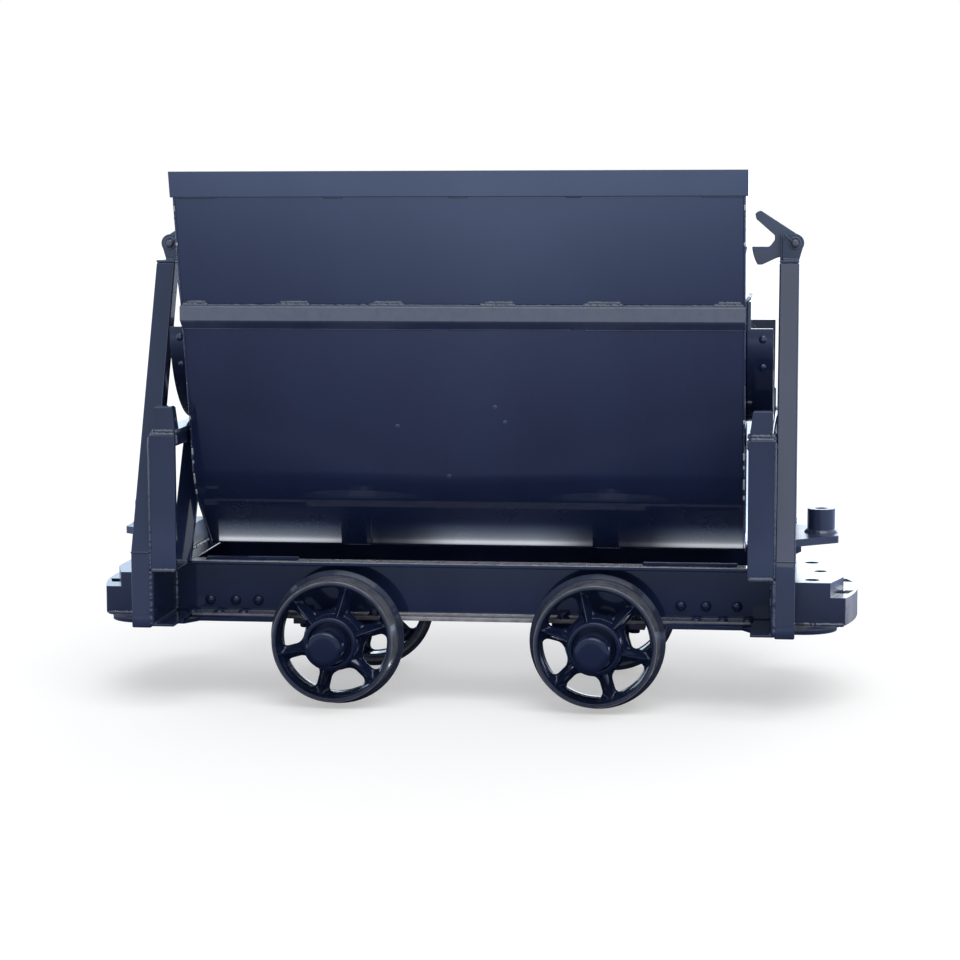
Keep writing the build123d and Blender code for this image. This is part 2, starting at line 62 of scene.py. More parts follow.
def enamel_effect():
    """Shader group of the paint: cloudy colour, dust on faces that look up, orange peel and wavy steel below.
    The dust is how far a face looks up, times a soft noise, times a fine one, and it dulls the gloss."""
    measures = ("Dust", "Peel Size", "Peel Depth", "Wave Size", "Wave Depth", "Gloss", "Coat Side",
                "Coat Top")
    group, node, link, inp, out = effect_group(
        "enamel_effect", [("Deep", "Color"), ("Pale", "Color"), *((name, "Float") for name in measures)],
        [("Color", "Color"), ("Roughness", "Float"), ("Coat", "Float"), ("Normal", "Vector")])
    place = node("ShaderNodeTexCoord").outputs["Object"]
    up = node("ShaderNodeSeparateXYZ")
    link(node("ShaderNodeNewGeometry").outputs["Normal"], up.inputs[0])

    def fill(sockets, values):
        """Puts a number, a colour or a link into each socket."""
        for socket, value in zip(sockets, values):
            if isinstance(value, bpy.types.NodeSocket):
                link(value, socket)
            else:
                socket.default_value = value

    def noise(scale, detail, rough, stretch=(1, 1, 1)):
        """A noise pattern in the object's own space, stretched along some axes."""
        mapping = node("ShaderNodeMapping")
        mapping.inputs["Scale"].default_value = stretch
        link(place, mapping.inputs["Vector"])
        pattern = node("ShaderNodeTexNoise")
        fill([pattern.inputs[name] for name in ("Vector", "Scale", "Detail", "Roughness")],
             (mapping.outputs[0], scale, detail, rough))
        return pattern.outputs["Fac"]

    def ranged(value, low, high, to_low=0.0, to_high=1.0):
        """A value brought from one range to another, with its ends held."""
        span = node("ShaderNodeMapRange")
        fill([span.inputs[name] for name in ("Value", "From Min", "From Max", "To Min", "To Max")],
             (value, low, high, to_low, to_high))
        return span.outputs["Result"]

    def mixed(share, first, second):
        """Two colours mixed by a share."""
        mix = node("ShaderNodeMix")
        mix.data_type = "RGBA"
        fill([mix.inputs[k] for k in (0, 6, 7)], (share, first, second))
        return mix.outputs[2]

    def product(first, second, added=0.0):
        """A value times another value or number, plus a third."""
        times = node("ShaderNodeMath")
        times.operation = "MULTIPLY_ADD"
        fill(times.inputs, (first, second, added))
        return times.outputs[0]

    def relief(height, depth):
        """A bump whose height pattern stands out by a depth in metres."""
        bump = node("ShaderNodeBump")
        link(height, bump.inputs["Height"])
        link(depth, bump.inputs["Distance"])
        return bump

    cloud = noise(5.0, 4.0, 0.55, (1, 1, 0.45))
    tone = mixed(ranged(cloud, 0.32, 0.72), inp.outputs["Deep"], inp.outputs["Pale"])
    lies = product(ranged(up.outputs["Z"], 0.45, 0.95), ranged(noise(26.0, 6.0, 0.65), 0.42, 0.7))
    grain = product(lies, ranged(noise(420.0, 2.0, 0.6), 0.35, 0.7, 0.35, 1.0))
    dust = product(grain, inp.outputs["Dust"])
    link(mixed(dust, tone, DUST_COLOUR), out.inputs["Color"])
    smear = product(noise(9.0, 5.0, 0.6, (1, 1, 0.3)), SMEAR, inp.outputs["Gloss"])
    link(product(dust, DUST_HAZE, smear), out.inputs["Roughness"])
    wave = relief(noise(inp.outputs["Wave Size"], 2.0, 0.45), inp.outputs["Wave Depth"])
    peel = relief(noise(inp.outputs["Peel Size"], 2.0, 0.5), inp.outputs["Peel Depth"])
    link(wave.outputs[0], peel.inputs["Normal"])
    link(peel.outputs[0], out.inputs["Normal"])
    film = node("ShaderNodeMix")
    film.data_type = "FLOAT"
    fill([film.inputs[k] for k in (0, 2, 3)],
         (ranged(up.outputs["Z"], 0.45, 0.8), inp.outputs["Coat Side"], inp.outputs["Coat Top"]))
    link(film.outputs[0], out.inputs["Coat"])
    return group


enamel_group = enamel_effect()


def enamel(name, deep, pale, gloss=0.22, dust=0.1, peel=(300, 2e-5), wave=(6, 4e-4), coat=1.0, top=None,
           mirror=0.05):
    """Gloss enamel: the effect group under a clear top coat, which may be thicker on faces that look up. Peel
    and wave are each a pattern's scale and its depth in metres, and mirror is the roughness of the coat."""
    made = bpy.data.materials.new(name)
    made.use_nodes = True
    tree = made.node_tree
    skin = tree.nodes["Principled BSDF"]
    effect = tree.nodes.new("ShaderNodeGroup")
    effect.node_tree = enamel_group
    for socket, value in (("Deep", (*deep, 1)), ("Pale", (*pale, 1)), ("Dust", dust), ("Gloss", gloss),
                          ("Peel Size", peel[0]), ("Peel Depth", peel[1]), ("Wave Size", wave[0]),
                          ("Wave Depth", wave[1]), ("Coat Side", coat),
                          ("Coat Top", coat if top is None else top)):
        effect.inputs[socket].default_value = value
    for result, socket in (("Color", "Base Color"), ("Roughness", "Roughness"), ("Normal", "Normal")):
        tree.links.new(effect.outputs[result], skin.inputs[socket])
    skin.inputs["IOR"].default_value = 1.5
    skin.inputs["Specular IOR Level"].default_value = 0.05
    skin.inputs["Coat Weight"].default_value = coat
    if top is not None:
        tree.links.new(effect.outputs["Coat"], skin.inputs["Coat Weight"])
    skin.inputs["Coat Roughness"].default_value = mirror
    skin.inputs["Coat IOR"].default_value = 1.55
    return made


SAME_POINT = 1e-5
SAME_FACE = radians(0.4)
SHARP_EDGE = radians(25)
FLAT_SHARE = 80


def soften(names, material, width=0.002, steps=2):
    """Puts a finish on CAD nodes and rounds their edges: points joined, flat faces merged, edges bevelled."""
    for name in names:
        part = nodes[name]
        for held in part.material_slots:
            held.material = material
        join = part.modifiers.new("join", "WELD")
        join.merge_threshold = SAME_POINT
        merge = part.modifiers.new("merge", "DECIMATE")
        merge.decimate_type = "DISSOLVE"
        merge.angle_limit = SAME_FACE
        ease = part.modifiers.new("ease", "BEVEL")
        ease.width = width
        ease.segments = steps
        ease.limit_method = "ANGLE"
        ease.angle_limit = SHARP_EDGE
        ease.use_clamp_overlap = True
        shade = part.modifiers.new("shade", "WEIGHTED_NORMAL")
        shade.keep_sharp = False
        shade.weight = FLAT_SHARE


def distance_effect():
    """Shader group: the length of (|x|, |y|, |z|) less a centre, times a stretch, so that both ends and both
    sides of the cart are alike."""
    group, node, link, inp, out = effect_group(
        "distance_effect", [("Centre", "Vector"), ("Stretch", "Vector")], [("Distance", "Float")])
    spot = node("ShaderNodeTexCoord").outputs["Object"]
    for work, name in (("ABSOLUTE", None), ("SUBTRACT", "Centre"), ("MULTIPLY", "Stretch"), ("LENGTH", None)):
        step = node("ShaderNodeVectorMath")
        step.operation = work
        link(spot, step.inputs[0])
        if name:
            link(inp.outputs[name], step.inputs[1])
        spot = step.outputs["Value" if work == "LENGTH" else "Vector"]
    link(spot, out.inputs["Distance"])
    return group


def bare_and_highlight_effect():
    """Shader group: a paler colour mixed into the paint by a share, times a patchy noise. It is bare metal on
    the wheels' treads and flanges, and a painted highlight on their rims' front corners, the channels, the
    front bumper's nose and the rib.
    """
    group, node, link, inp, out = effect_group(
        "bare_and_highlight_effect", [("Paint", "Color"), ("Bare And Highlight", "Color"), ("Share", "Float")], [("Color", "Color")])
    patches = node("ShaderNodeTexNoise")
    patches.inputs["Scale"].default_value = 38
    patches.inputs["Detail"].default_value = 5
    link(node("ShaderNodeTexCoord").outputs["Object"], patches.inputs["Vector"])
    patchiness = node("ShaderNodeMapRange")
    for socket, value in zip(("From Min", "From Max", "To Min", "To Max"), (0.3, 0.6, 0.55, 1.0)):
        patchiness.inputs[socket].default_value = value
    link(patches.outputs["Fac"], patchiness.inputs["Value"])
    share = node("ShaderNodeMath")
    share.operation = "MULTIPLY"
    link(inp.outputs["Share"], share.inputs[0])
    link(patchiness.outputs["Result"], share.inputs[1])
    mix = node("ShaderNodeMix")
    mix.data_type = "RGBA"
    link(share.outputs[0], mix.inputs[0])
    link(inp.outputs["Paint"], mix.inputs[6])
    link(inp.outputs["Bare And Highlight"], mix.inputs[7])
    link(mix.outputs[2], out.inputs["Color"])
    return group


distance_group = distance_effect()
bare_and_highlight_group = bare_and_highlight_effect()


def ramp_over(tree, value, low, high, stops):
    """A colour ramp over a value between two ends, from rows of (value, colour)."""
    span = tree.nodes.new("ShaderNodeMapRange")
    span.inputs["From Min"].default_value = low
    span.inputs["From Max"].default_value = high
    tree.links.new(value, span.inputs["Value"])
    ramp = tree.nodes.new("ShaderNodeValToRGB")
    for _ in stops[2:]:
        ramp.color_ramp.elements.new(0.5)
    for stop, (place, colour) in zip(ramp.color_ramp.elements, stops):
        stop.position = (place - low) / (high - low)
        stop.color = (*colour, 1)
    tree.links.new(span.outputs["Result"], ramp.inputs["Fac"])
    return ramp.outputs["Color"]


def wear_and_highlight(material, centre, stretch, stops, colour):
    """Pale bands: a ramp over the distance from a centre, in rows of (stretched metres, share), gives how
    much of
    a paler colour shows in the paint: bare metal on worn wheel treads, painted highlights elsewhere."""
    tree = material.node_tree
    socket = tree.nodes["Principled BSDF"].inputs["Base Color"]
    paint = socket.links[0].from_socket
    distance, bare_and_highlight = tree.nodes.new("ShaderNodeGroup"), tree.nodes.new("ShaderNodeGroup")
    distance.node_tree, bare_and_highlight.node_tree = distance_group, bare_and_highlight_group
    distance.inputs["Centre"].default_value = centre
    distance.inputs["Stretch"].default_value = stretch
    shares = [(reach, (share, share, share)) for reach, share in stops]
    share = ramp_over(tree, distance.outputs["Distance"], stops[0][0], stops[-1][0], shares)
    bare_and_highlight.inputs["Bare And Highlight"].default_value = (*colour, 1)
    tree.links.new(paint, bare_and_highlight.inputs["Paint"])
    tree.links.new(share, bare_and_highlight.inputs["Share"])
    tree.links.new(bare_and_highlight.outputs["Color"], socket)


NAVY_DEEP = (0.008, 0.014, 0.046)
NAVY_PALE = (0.014, 0.023, 0.068)
CHANNEL_TOP = 0.3668
LIP_TOP = 0.2258
LIP_EDGE = 0.2225
frame_enamel = enamel("frame_enamel", NAVY_DEEP, NAVY_PALE, dust=0.2, wave=(8, 3e-4), coat=0.33, top=1.0)
soften(["end_beams", "cross_members"], frame_enamel, 0.003, 3)
channel_painted_highlight_enamel = enamel("channel_painted_highlight_enamel", NAVY_DEEP, NAVY_PALE, dust=0.2, wave=(8, 3e-4), coat=0.33, top=1.0)
# Painted highlights: pale bands on the top flange's top face and over the lower flange, the last narrowing
# towards the channels' ends.
wear_and_highlight(channel_painted_highlight_enamel, (0, 0, CHANNEL_TOP), (0, 0, 1), ((0.0, 0.9), (0.0012, 0.8), (0.002, 0.0)),
     (0.42, 0.42, 0.45))
wear_and_highlight(channel_painted_highlight_enamel, (0, 0, LIP_TOP), (0, 0, 1), ((0.0, 0.85), (0.0029, 0.85), (0.0036, 0.0)),
     (0.15, 0.15, 0.17))
wear_and_highlight(channel_painted_highlight_enamel, (0, 0, LIP_EDGE), (0.018, 0, 1),
     ((0.0, 1.0), (0.0080, 1.0), (0.0096, 0.1), (0.012, 0.0)), (0.33, 0.33, 0.36))
soften(["side_channels"], channel_painted_highlight_enamel, 0.003, 3)

# Snap-head rivets hold the foot plates and the bearers to the side channels: three on each end of the web,
# and three flatter ones on the lower flange. They were driven hot, so the rows are a little uneven.
FRONT = ((1, 1), (1, -1))
REAR = ((-1, 1), (-1, -1))
CORNERS = FRONT + REAR
RIVET_R = 0.0142
ROUND_RISE = 0.0112
FLAT_RISE = 0.0078
WEB_Y = 0.211
FRONT_ROW_Z = 0.261
REAR_ROW_Z = 0.257
FLANGE_ROW = (0.233, 0.2278)
SEAM_GAP = 2e-6
NO_LENGTH = 1e-7


def grid_faces(rows, cols, wrap_rows, wrap_cols):
    """Corner numbers of a grid's quads: each point with its neighbours along and across."""
    row = np.arange(rows if wrap_rows else rows - 1)[:, None]
    col = np.arange(cols if wrap_cols else cols - 1)[None, :]
    next_row, next_col = (row + 1) % rows, (col + 1) % cols
    ring = [row * cols + col, row * cols + next_col, next_row * cols + next_col, next_row * cols + col]
    return np.stack(ring, -1).reshape(-1, 4)


def surfaces(name, grids, material, body):
    """A piece from grids of points, each (points, wrap rows, wrap columns). Points that fall together are
    merged, which closes poles and seams, and the faces are turned outwards."""
    points, faces, first = [], [], 0
    for grid, wrap_rows, wrap_cols in grids:
        batch = grid.reshape(-1, *grid.shape[-3:])
        rows, cols = batch.shape[1:3]
        quads = grid_faces(rows, cols, wrap_rows, wrap_cols)
        starts = first + np.arange(len(batch))[:, None, None] * rows * cols
        points.append(batch.reshape(-1, 3))
        faces.append((quads[None] + starts).reshape(-1, 4))
        first += batch.shape[0] * rows * cols
    points, faces = np.concatenate(points), np.concatenate(faces)
    mesh = bpy.data.meshes.new(name)
    mesh.vertices.add(len(points))
    mesh.vertices.foreach_set("co", points.astype(np.float32).ravel())
    mesh.loops.add(faces.size)
    mesh.loops.foreach_set("vertex_index", faces.astype(np.int32).ravel())
    mesh.polygons.add(len(faces))
    mesh.polygons.foreach_set("loop_start", np.arange(0, faces.size, 4, dtype=np.int32))
    mesh.update(calc_edges=True)
    shell = bmesh.new()
    shell.from_mesh(mesh)
    bmesh.ops.remove_doubles(shell, verts=shell.verts, dist=SEAM_GAP)
    bmesh.ops.dissolve_degenerate(shell, edges=shell.edges, dist=NO_LENGTH)
    bmesh.ops.recalc_face_normals(shell, faces=shell.faces)
    shell.to_mesh(mesh)
    shell.free()
    mesh.polygons.foreach_set("use_smooth", np.ones(len(mesh.polygons), bool))
    mesh.materials.append(material)
    made = bpy.data.objects.new(name, mesh)
    bpy.context.scene.collection.objects.link(made)
    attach(made, body)
    return made


def turned(profile, steps):
    """A profile of (radius, height) rows turned about the local Z axis, as a grid of points."""
    angle = np.linspace(0, 2 * pi, steps, endpoint=False)
    radius, height = np.asarray(profile, float).T[:, :, None]
    return np.stack([radius * np.cos(angle), radius * np.sin(angle), height + 0 * angle], -1)


def placed(grid, at, normal, spin=0.0):
    """Copies of a local grid at several points, with local Z along each point's normal: grid times a basis of
    two sides and the normal, turned by the spin, plus the point."""
    at = np.atleast_2d(at).astype(float)
    normal = np.broadcast_to(np.asarray(normal, float), at.shape)
    normal = normal / np.linalg.norm(normal, axis=1, keepdims=True)
    helper = np.where(np.abs(normal[:, :1]) > 0.9, [[0.0, 1.0, 0.0]], [[1.0, 0.0, 0.0]])
    side = np.cross(helper, normal)
    side /= np.linalg.norm(side, axis=1, keepdims=True)
    other = np.cross(normal, side)
    turn = np.broadcast_to(np.asarray(spin, float), len(at))[:, None]
    first = side * np.cos(turn) + other * np.sin(turn)
    second = other * np.cos(turn) - side * np.sin(turn)
    basis = np.stack([first, second, normal], 1)
    return np.einsum("rcj,kji->krci", grid, basis) + at[:, None, None, :]


def signs(points, flips=CORNERS):
    """Points repeated at the corners of the cart by changing the signs of x and y."""
    points = np.atleast_2d(points)
    return np.concatenate([points * [fx, fy, 1] for fx, fy in flips])


def dome(radius, rise, steps, around):
    """A round head: the quarter of an ellipse, turned about its axis."""
    arc = np.linspace(0, pi / 2, steps)
    return turned(np.stack([radius * np.cos(arc), rise * np.sin(arc)], 1), around)


round_head = dome(RIVET_R, ROUND_RISE, 7, 20)
flat_head = dome(RIVET_R, FLAT_RISE, 7, 20)
web_rivets = np.concatenate([signs([(x, WEB_Y, FRONT_ROW_Z) for x in (0.547, 0.611, 0.691)], FRONT),
                             signs([(x, WEB_Y, REAR_ROW_Z) for x in (0.559, 0.619, 0.687)], REAR)])
flange_rivets = np.concatenate([signs([(x, *FLANGE_ROW) for x in (0.588, 0.655, 0.720)], FRONT),
                                signs([(x, *FLANGE_ROW) for x in (0.595, 0.660, 0.732)], REAR)])
web_normal = np.sign(web_rivets) * [0, 1, 0]
surfaces("channel_rivets", [(placed(round_head, web_rivets, web_normal), False, True),
                            (placed(flat_head, flange_rivets, (0, 0, 1)), False, True)],
         frame_enamel, "chassis")

# Foot plates under each end: flame-cut steel that ties the channels, the end beam and the bumper.
# Their edges keep a rough run of weld against the beam and the castings.
plate_enamel = enamel("plate_enamel", NAVY_DEEP, NAVY_PALE, gloss=0.4, dust=1.5, coat=0.33, top=0.5)
soften(["end_plates"], plate_enamel, 0.0015)
weld_paint = enamel("weld_enamel", (0.016, 0.024, 0.062), (0.050, 0.062, 0.105), gloss=0.3, dust=0.2,
                    peel=(900, 4e-5), wave=(160, 2e-4))
random = np.random.default_rng(11)
DROP_RIPPLE = 0.14
DROP_SPREAD = 0.1
DRIFT = 0.07


def bead(path, size, pitch=0.006, sides=8):
    """A weld bead along a path: rings whose radius ripples with each drop of metal, by a cosine and a chance
    share, and closes at both ends by a square root."""
    path = np.asarray(path, float)
    run = np.concatenate([[0], np.cumsum(np.linalg.norm(np.diff(path, axis=0), axis=1))])
    count = max(8, int(run[-1] / pitch * 2))
    at = np.linspace(0, run[-1], count)
    centre = np.stack([np.interp(at, run, path[:, k]) for k in range(3)], 1)
    ahead = np.gradient(centre, axis=0)
    ahead /= np.linalg.norm(ahead, axis=1, keepdims=True)
    helper = np.where(np.abs(ahead[:, 2:]) > 0.9, [[1.0, 0.0, 0.0]], [[0.0, 0.0, 1.0]])
    side = np.cross(ahead, helper)
    side /= np.linalg.norm(side, axis=1, keepdims=True)
    rise = np.cross(side, ahead)
    ripple = 1 + DROP_RIPPLE * np.cos(pi * np.arange(count)) + random.normal(0, DROP_SPREAD, count)
    ripple = ripple * np.clip(np.minimum(at, run[-1] - at) / size, 0, 1) ** 0.5
    centre = centre + random.normal(0, DRIFT * size, (count, 3))
    angle = np.linspace(0, 2 * pi, sides, endpoint=False)
    ring = side[:, None] * np.cos(angle)[None, :, None] + rise[:, None] * np.sin(angle)[None, :, None]
    return centre[:, None] + ring * (size * ripple)[:, None, None]


def welds(name, runs, body, corners=CORNERS, paint=weld_paint, pitch=0.006):
    """A piece of weld beads, each run (path, size) laid at the given corners of the cart."""
    beads = [(bead(np.asarray(path, float) * [fx, fy, 1], size, pitch), False, True)
             for path, size in runs for fx, fy in corners]
    return surfaces(name, beads, paint, body)


foot_runs = [
    ([(0.7885, 0.310, 0.2195), (0.7885, 0.220, 0.2195)], 0.0045),
    ([(0.7785, 0.450, 0.2285), (0.7785, 0.216, 0.2285)], 0.0045),
    ([(0.7775, 0.2130, 0.229), (0.7775, 0.2130, 0.359)], 0.0055),
]
welds("foot_welds", foot_runs, "chassis")

# Packing strips: short flats tacked on top of the channels at both ends, where the bucket rests in
# transport. They were brushed over with thin paint, so they stay dull.
STRIP_Y = (0.206, 0.240)
STRIP_TOP = CHANNEL_TOP + 0.006
REACH_CAP = 0.45


def eased(corners, reach, steps=5):
    """A closed profile with each corner replaced by a short curve: a quadratic Bezier with its middle point
    at the corner, which starts and ends a reach away from it, less than half of the shorter side."""
    corners = np.asarray(corners, float)
    before, after = np.roll(corners, 1, 0) - corners, np.roll(corners, -1, 0) - corners
    lengths = [np.linalg.norm(v, axis=1, keepdims=True) for v in (before, after)]
    reach = np.minimum(np.broadcast_to(reach, len(corners))[:, None], np.minimum(*lengths) * REACH_CAP)
    start, end = corners + before / lengths[0] * reach, corners + after / lengths[1] * reach
    t = np.linspace(0, 1, steps)[None, :, None]
    curve = (1 - t) ** 2 * start[:, None] + 2 * t * (1 - t) * corners[:, None] + t * t * end[:, None]
    return curve.reshape(-1, 2)


strip_section = eased([(STRIP_Y[0], CHANNEL_TOP), (STRIP_Y[1], CHANNEL_TOP), (STRIP_Y[1], STRIP_TOP),
                       (STRIP_Y[0], STRIP_TOP)], 0.0012, 3)
strip_x = np.array([0.450, 0.450, 0.4504, 0.690, 0.6904, 0.6904])
strip_share = np.array([0, 0.98, 1.0, 1.0, 0.98, 0])[:, None, None]
strip_middle = strip_section.mean(0)
strip_ring = strip_middle + (strip_section[None] - strip_middle) * strip_share
strip = np.stack([strip_x[:, None] + 0 * strip_ring[..., 0], strip_ring[..., 0], strip_ring[..., 1]], -1)
dull_enamel = enamel("dull_enamel", NAVY_DEEP, NAVY_PALE, gloss=0.55, dust=0.3, coat=0.06)
surfaces("packing_strips", [(strip * [fx, fy, 1], False, True) for fx, fy in CORNERS],
         dull_enamel, "chassis")

# Axle boxes: iron castings whose wide feet are bolted up to the lower flanges of the channels, with nuts on
# washers above and an oil plug below. The casting's skin shows through thick paint.
cast_enamel = enamel("cast_enamel", (0.006, 0.010, 0.034), (0.011, 0.018, 0.052), gloss=0.26, dust=0.12,
                     peel=(240, 1.6e-4), wave=(60, 5e-4), coat=0.6)
soften(["axle_boxes"], cast_enamel, 0.004, 3)


def hexagon_head(across, height):
    """A six-sided bolt head with a turned chamfer: at each angle and level its radius is the smaller of the
    hexagon, half the width across flats over a cosine, and the chamfer's circle."""
    angle = np.linspace(0, 2 * pi, 36, endpoint=False)
    flat = across / 2 / np.cos((angle + pi / 6) % (pi / 3) - pi / 6)
    level = np.array([0.0, 0.72, 0.86, 1.0, 1.0, 1.0])[:, None]
    limit = np.array([np.inf, np.inf, 1.07, 0.96, 0.6, 0.0])[:, None] * across / 2
    radius = np.minimum(flat[None], limit)
    return np.stack([radius * np.cos(angle), radius * np.sin(angle), height * level + 0 * angle], -1)


def washer(radius, thick):
    """A flat round washer with eased edges."""
    return turned([(radius, 0), (radius, thick * 0.7), (radius - thick * 0.4, thick), (0, thick)], 28)


AXLE_X = 0.3375
BOLT_X = 0.092
under = signs([(AXLE_X - BOLT_X, 0.232, 0.203), (AXLE_X + BOLT_X, 0.232, 0.203)])
over = signs([(AXLE_X - BOLT_X, 0.238, 0.228), (AXLE_X + BOLT_X, 0.238, 0.228)])
oil_plugs = signs([(AXLE_X, 0.231, 0.118)])
bolt_spin = random.uniform(0, pi / 3, len(under))
plug_spin = bolt_spin[:len(oil_plugs)]
box_bolts = [placed(hexagon_head(0.026, 0.011), under, (0, 0, -1), bolt_spin),
             placed(hexagon_head(0.026, 0.014), over, (0, 0, 1), bolt_spin),
             placed(washer(0.0175, 0.003), over, (0, 0, 1)),
             placed(hexagon_head(0.019, 0.009), oil_plugs, (0, 0, -1), plug_spin)]
surfaces("axle_box_bolts", [(grid, False, True) for grid in box_bolts],
         frame_enamel, "chassis")

# Wheels: grey-iron castings with six ribbed spokes, a turned tread and flange, and a proud hub with a cap.
# The core leaves soft round edges at every window, and the enamel lies thick in the corners.
AXLE_Z = 0.175
RIM_IN = 0.140
HUB_R = 0.071
WEB_BACK = 0.318
WEB_FRONT = 0.334
SPOKE_HALF = 0.017
WINDOW = (0.080, 0.137)
WINDOW_EASE = 0.018
CELL = (0.060, 0.149)
RIDGE_HUB = 0.050
RIDGE_FALL = 0.038
RIDGE_HALF = 0.0078
RIDGE_SOFT = 0.0015
HUB_FILLET = 0.014
RIM_FILLET = 0.012
FRONT_SWELL = 0.9
BACK_SWELL = 0.7
EDGE_SHARE = 0.93
EDGE_FADE = 0.004
RAYS = 84
FARTHEST = 0.12
HALVINGS = 34


def window_gap(radius, angle):
    """How far outside a window a polar point lies: a ring sector between two spokes. At its round corners the
    distance is the length of the two gaps, each measured from inside by the ease."""
    across = np.maximum(radius - WINDOW[1], WINDOW[0] - radius)
    beside = SPOKE_HALF - radius * np.sin(pi / 6 - np.abs(angle))
    corner = np.hypot(np.maximum(across + WINDOW_EASE, 0), np.maximum(beside + WINDOW_EASE, 0))
    return corner + np.minimum(np.maximum(across, beside) + WINDOW_EASE, 0) - WINDOW_EASE


def cell_gap(radius, angle):
    """How far outside its share of the web a polar point lies: between the two spokes' centre lines."""
    across = np.maximum(radius - CELL[1], CELL[0] - radius)
    return np.maximum(across, -radius * np.sin(pi / 6 - np.abs(angle)))


def reach_to(gap, middle, heading):
    """Distance from a window's middle to an outline along each heading, found by halving."""
    low, high = np.zeros_like(heading), np.full_like(heading, FARTHEST)
    for _ in range(HALVINGS):
        mid = (low + high) / 2
        x, y = middle + mid * np.cos(heading), mid * np.sin(heading)
        inside = gap(np.hypot(x, y), np.arctan2(y, x)) < 0
        low, high = np.where(inside, mid, low), np.where(inside, high, mid)
    return (low + high) / 2


def quarter(distance, radius):
    """Fall of a rounded edge at a distance from it: a radius less the height of its quarter circle."""
    short = np.clip(radius - distance, 0, radius)
    return radius - np.sqrt(radius ** 2 - short ** 2)


def wheel_web():
    """Front and back of the spoked web, one share of 60 degrees after another, meeting in the windows' walls.
    Rings run from the window's outline to the share's. The front rises in a ridge on each spoke, a bell curve
    across it that falls from hub to rim, and both faces rise in a square curve at the hub and the rim."""
    middle = sum(WINDOW) / 2
    heading = (np.arange(RAYS) + 0.5) * 2 * pi / RAYS
    inner, outer = reach_to(window_gap, middle, heading), reach_to(cell_gap, middle, heading)
    step = np.concatenate([[0, 0.01, 0.03, 0.06, 0.1, 0.16], np.linspace(0.24, 1, 13)])[:, None]
    out = inner + (outer - inner) * step
    x, y = middle + out * np.cos(heading), out * np.sin(heading)
    radius, angle = np.hypot(x, y), np.arctan2(y, x)
    edge = np.abs(out - inner) * EDGE_SHARE
    spoke = radius * np.sin(np.clip(pi / 6 - np.abs(angle), 0, pi / 6))
    half_thick = (WEB_FRONT - WEB_BACK) / 2
    fall = quarter(edge, half_thick)
    fall[0] = half_thick
    along = np.clip((radius - HUB_R) / (RIM_IN - HUB_R), 0, 1)
    ridge = (RIDGE_HUB - RIDGE_FALL * along ** 0.7) * np.exp(-(spoke / RIDGE_HALF) ** 2)
    ridge = ridge * ridge / (ridge + RIDGE_SOFT)
    at_hub = HUB_FILLET - np.clip(radius - HUB_R, 0, HUB_FILLET)
    at_rim = RIM_FILLET - np.clip(RIM_IN - radius, 0, RIM_FILLET)
    swell = FRONT_SWELL * at_hub ** 2 / HUB_FILLET + FRONT_SWELL * at_rim ** 2 / RIM_FILLET
    fade = np.clip(edge / EDGE_FADE, 0, 1)
    front = WEB_FRONT - fall + np.maximum(ridge, swell) * fade
    back = WEB_BACK + fall - BACK_SWELL * swell * fade
    turn = np.arange(6)[:, None, None] * pi / 3 + angle
    return [(np.stack([radius * np.cos(turn), radius * np.sin(turn), np.broadcast_to(z, turn.shape)], -1),
             False, True) for z in (front, back)]


rim = eased([(RIM_IN + 0.001, 0.272), (0.166, 0.2702), (0.1748, 0.2765), (0.1748, 0.2815), (0.1615, 0.2955),
             (0.1572, 0.366), (0.1545, 0.3677), (0.1450, 0.3677), (RIM_IN, 0.338), (RIM_IN, 0.300)],
            [0.003, 0.004, 0.004, 0.004, 0.004, 0.002, 0.002, 0.004, 0.004, 0.006])
hub = eased([(0.030, 0.2785), (0.062, 0.2785), (HUB_R, 0.318), (HUB_R - 0.0015, 0.396), (0.0665, 0.4015),
             (0.0565, 0.4015), (0.055, 0.387), (0.030, 0.3865)],
            [0.001, 0.006, 0.004, 0.003, 0.003, 0.0015, 0.001, 0.001])
wheel_parts = [(turned(rim, 144), True, True), (turned(hub, 96), True, True), *wheel_web()]
cap = [(0.0, 0.3862), (0.0455, 0.3862), (0.0462, 0.3885), (0.0455, 0.391), (0.0455, 0.4795), (0.0448, 0.4822),
       (0.0405, 0.4866), (0.0385, 0.4877), (0.030, 0.4879), (0.012, 0.4879), (0.0, 0.4879)]
wheel_enamel = enamel("wheel_enamel", (0.006, 0.011, 0.036), (0.011, 0.019, 0.056), gloss=0.2, dust=0.08,
                      peel=(260, 1.1e-4), wave=(70, 4e-4), coat=0.3, top=0.9)
# Paler ring round each wheel: the tread and the flange are worn to bare metal, and the pale line on the rim's
# front corner is a painted highlight.
wear_and_highlight(wheel_enamel, (AXLE_X, 0, AXLE_Z), (1, 0, 1),
     ((0.145, 0), (0.150, 0.20), (0.154, 0.34), (0.1562, 0.9), (0.1608, 0.75), (0.1625, 0.14), (0.176, 0.15)),
     (0.19, 0.20, 0.225))


def wheel_side(grid, side, place, spoke_turn):
    """A wheel grid stood up on its axle: turned by the angle of its first spoke, with its height outwards."""
    flat = grid.reshape(-1, *grid.shape[-3:])
    x = flat[..., 0] * cos(spoke_turn) - flat[..., 1] * sin(spoke_turn)
    z = flat[..., 0] * sin(spoke_turn) + flat[..., 1] * cos(spoke_turn)
    return np.stack([place + x, side * flat[..., 2], AXLE_Z + z], -1)


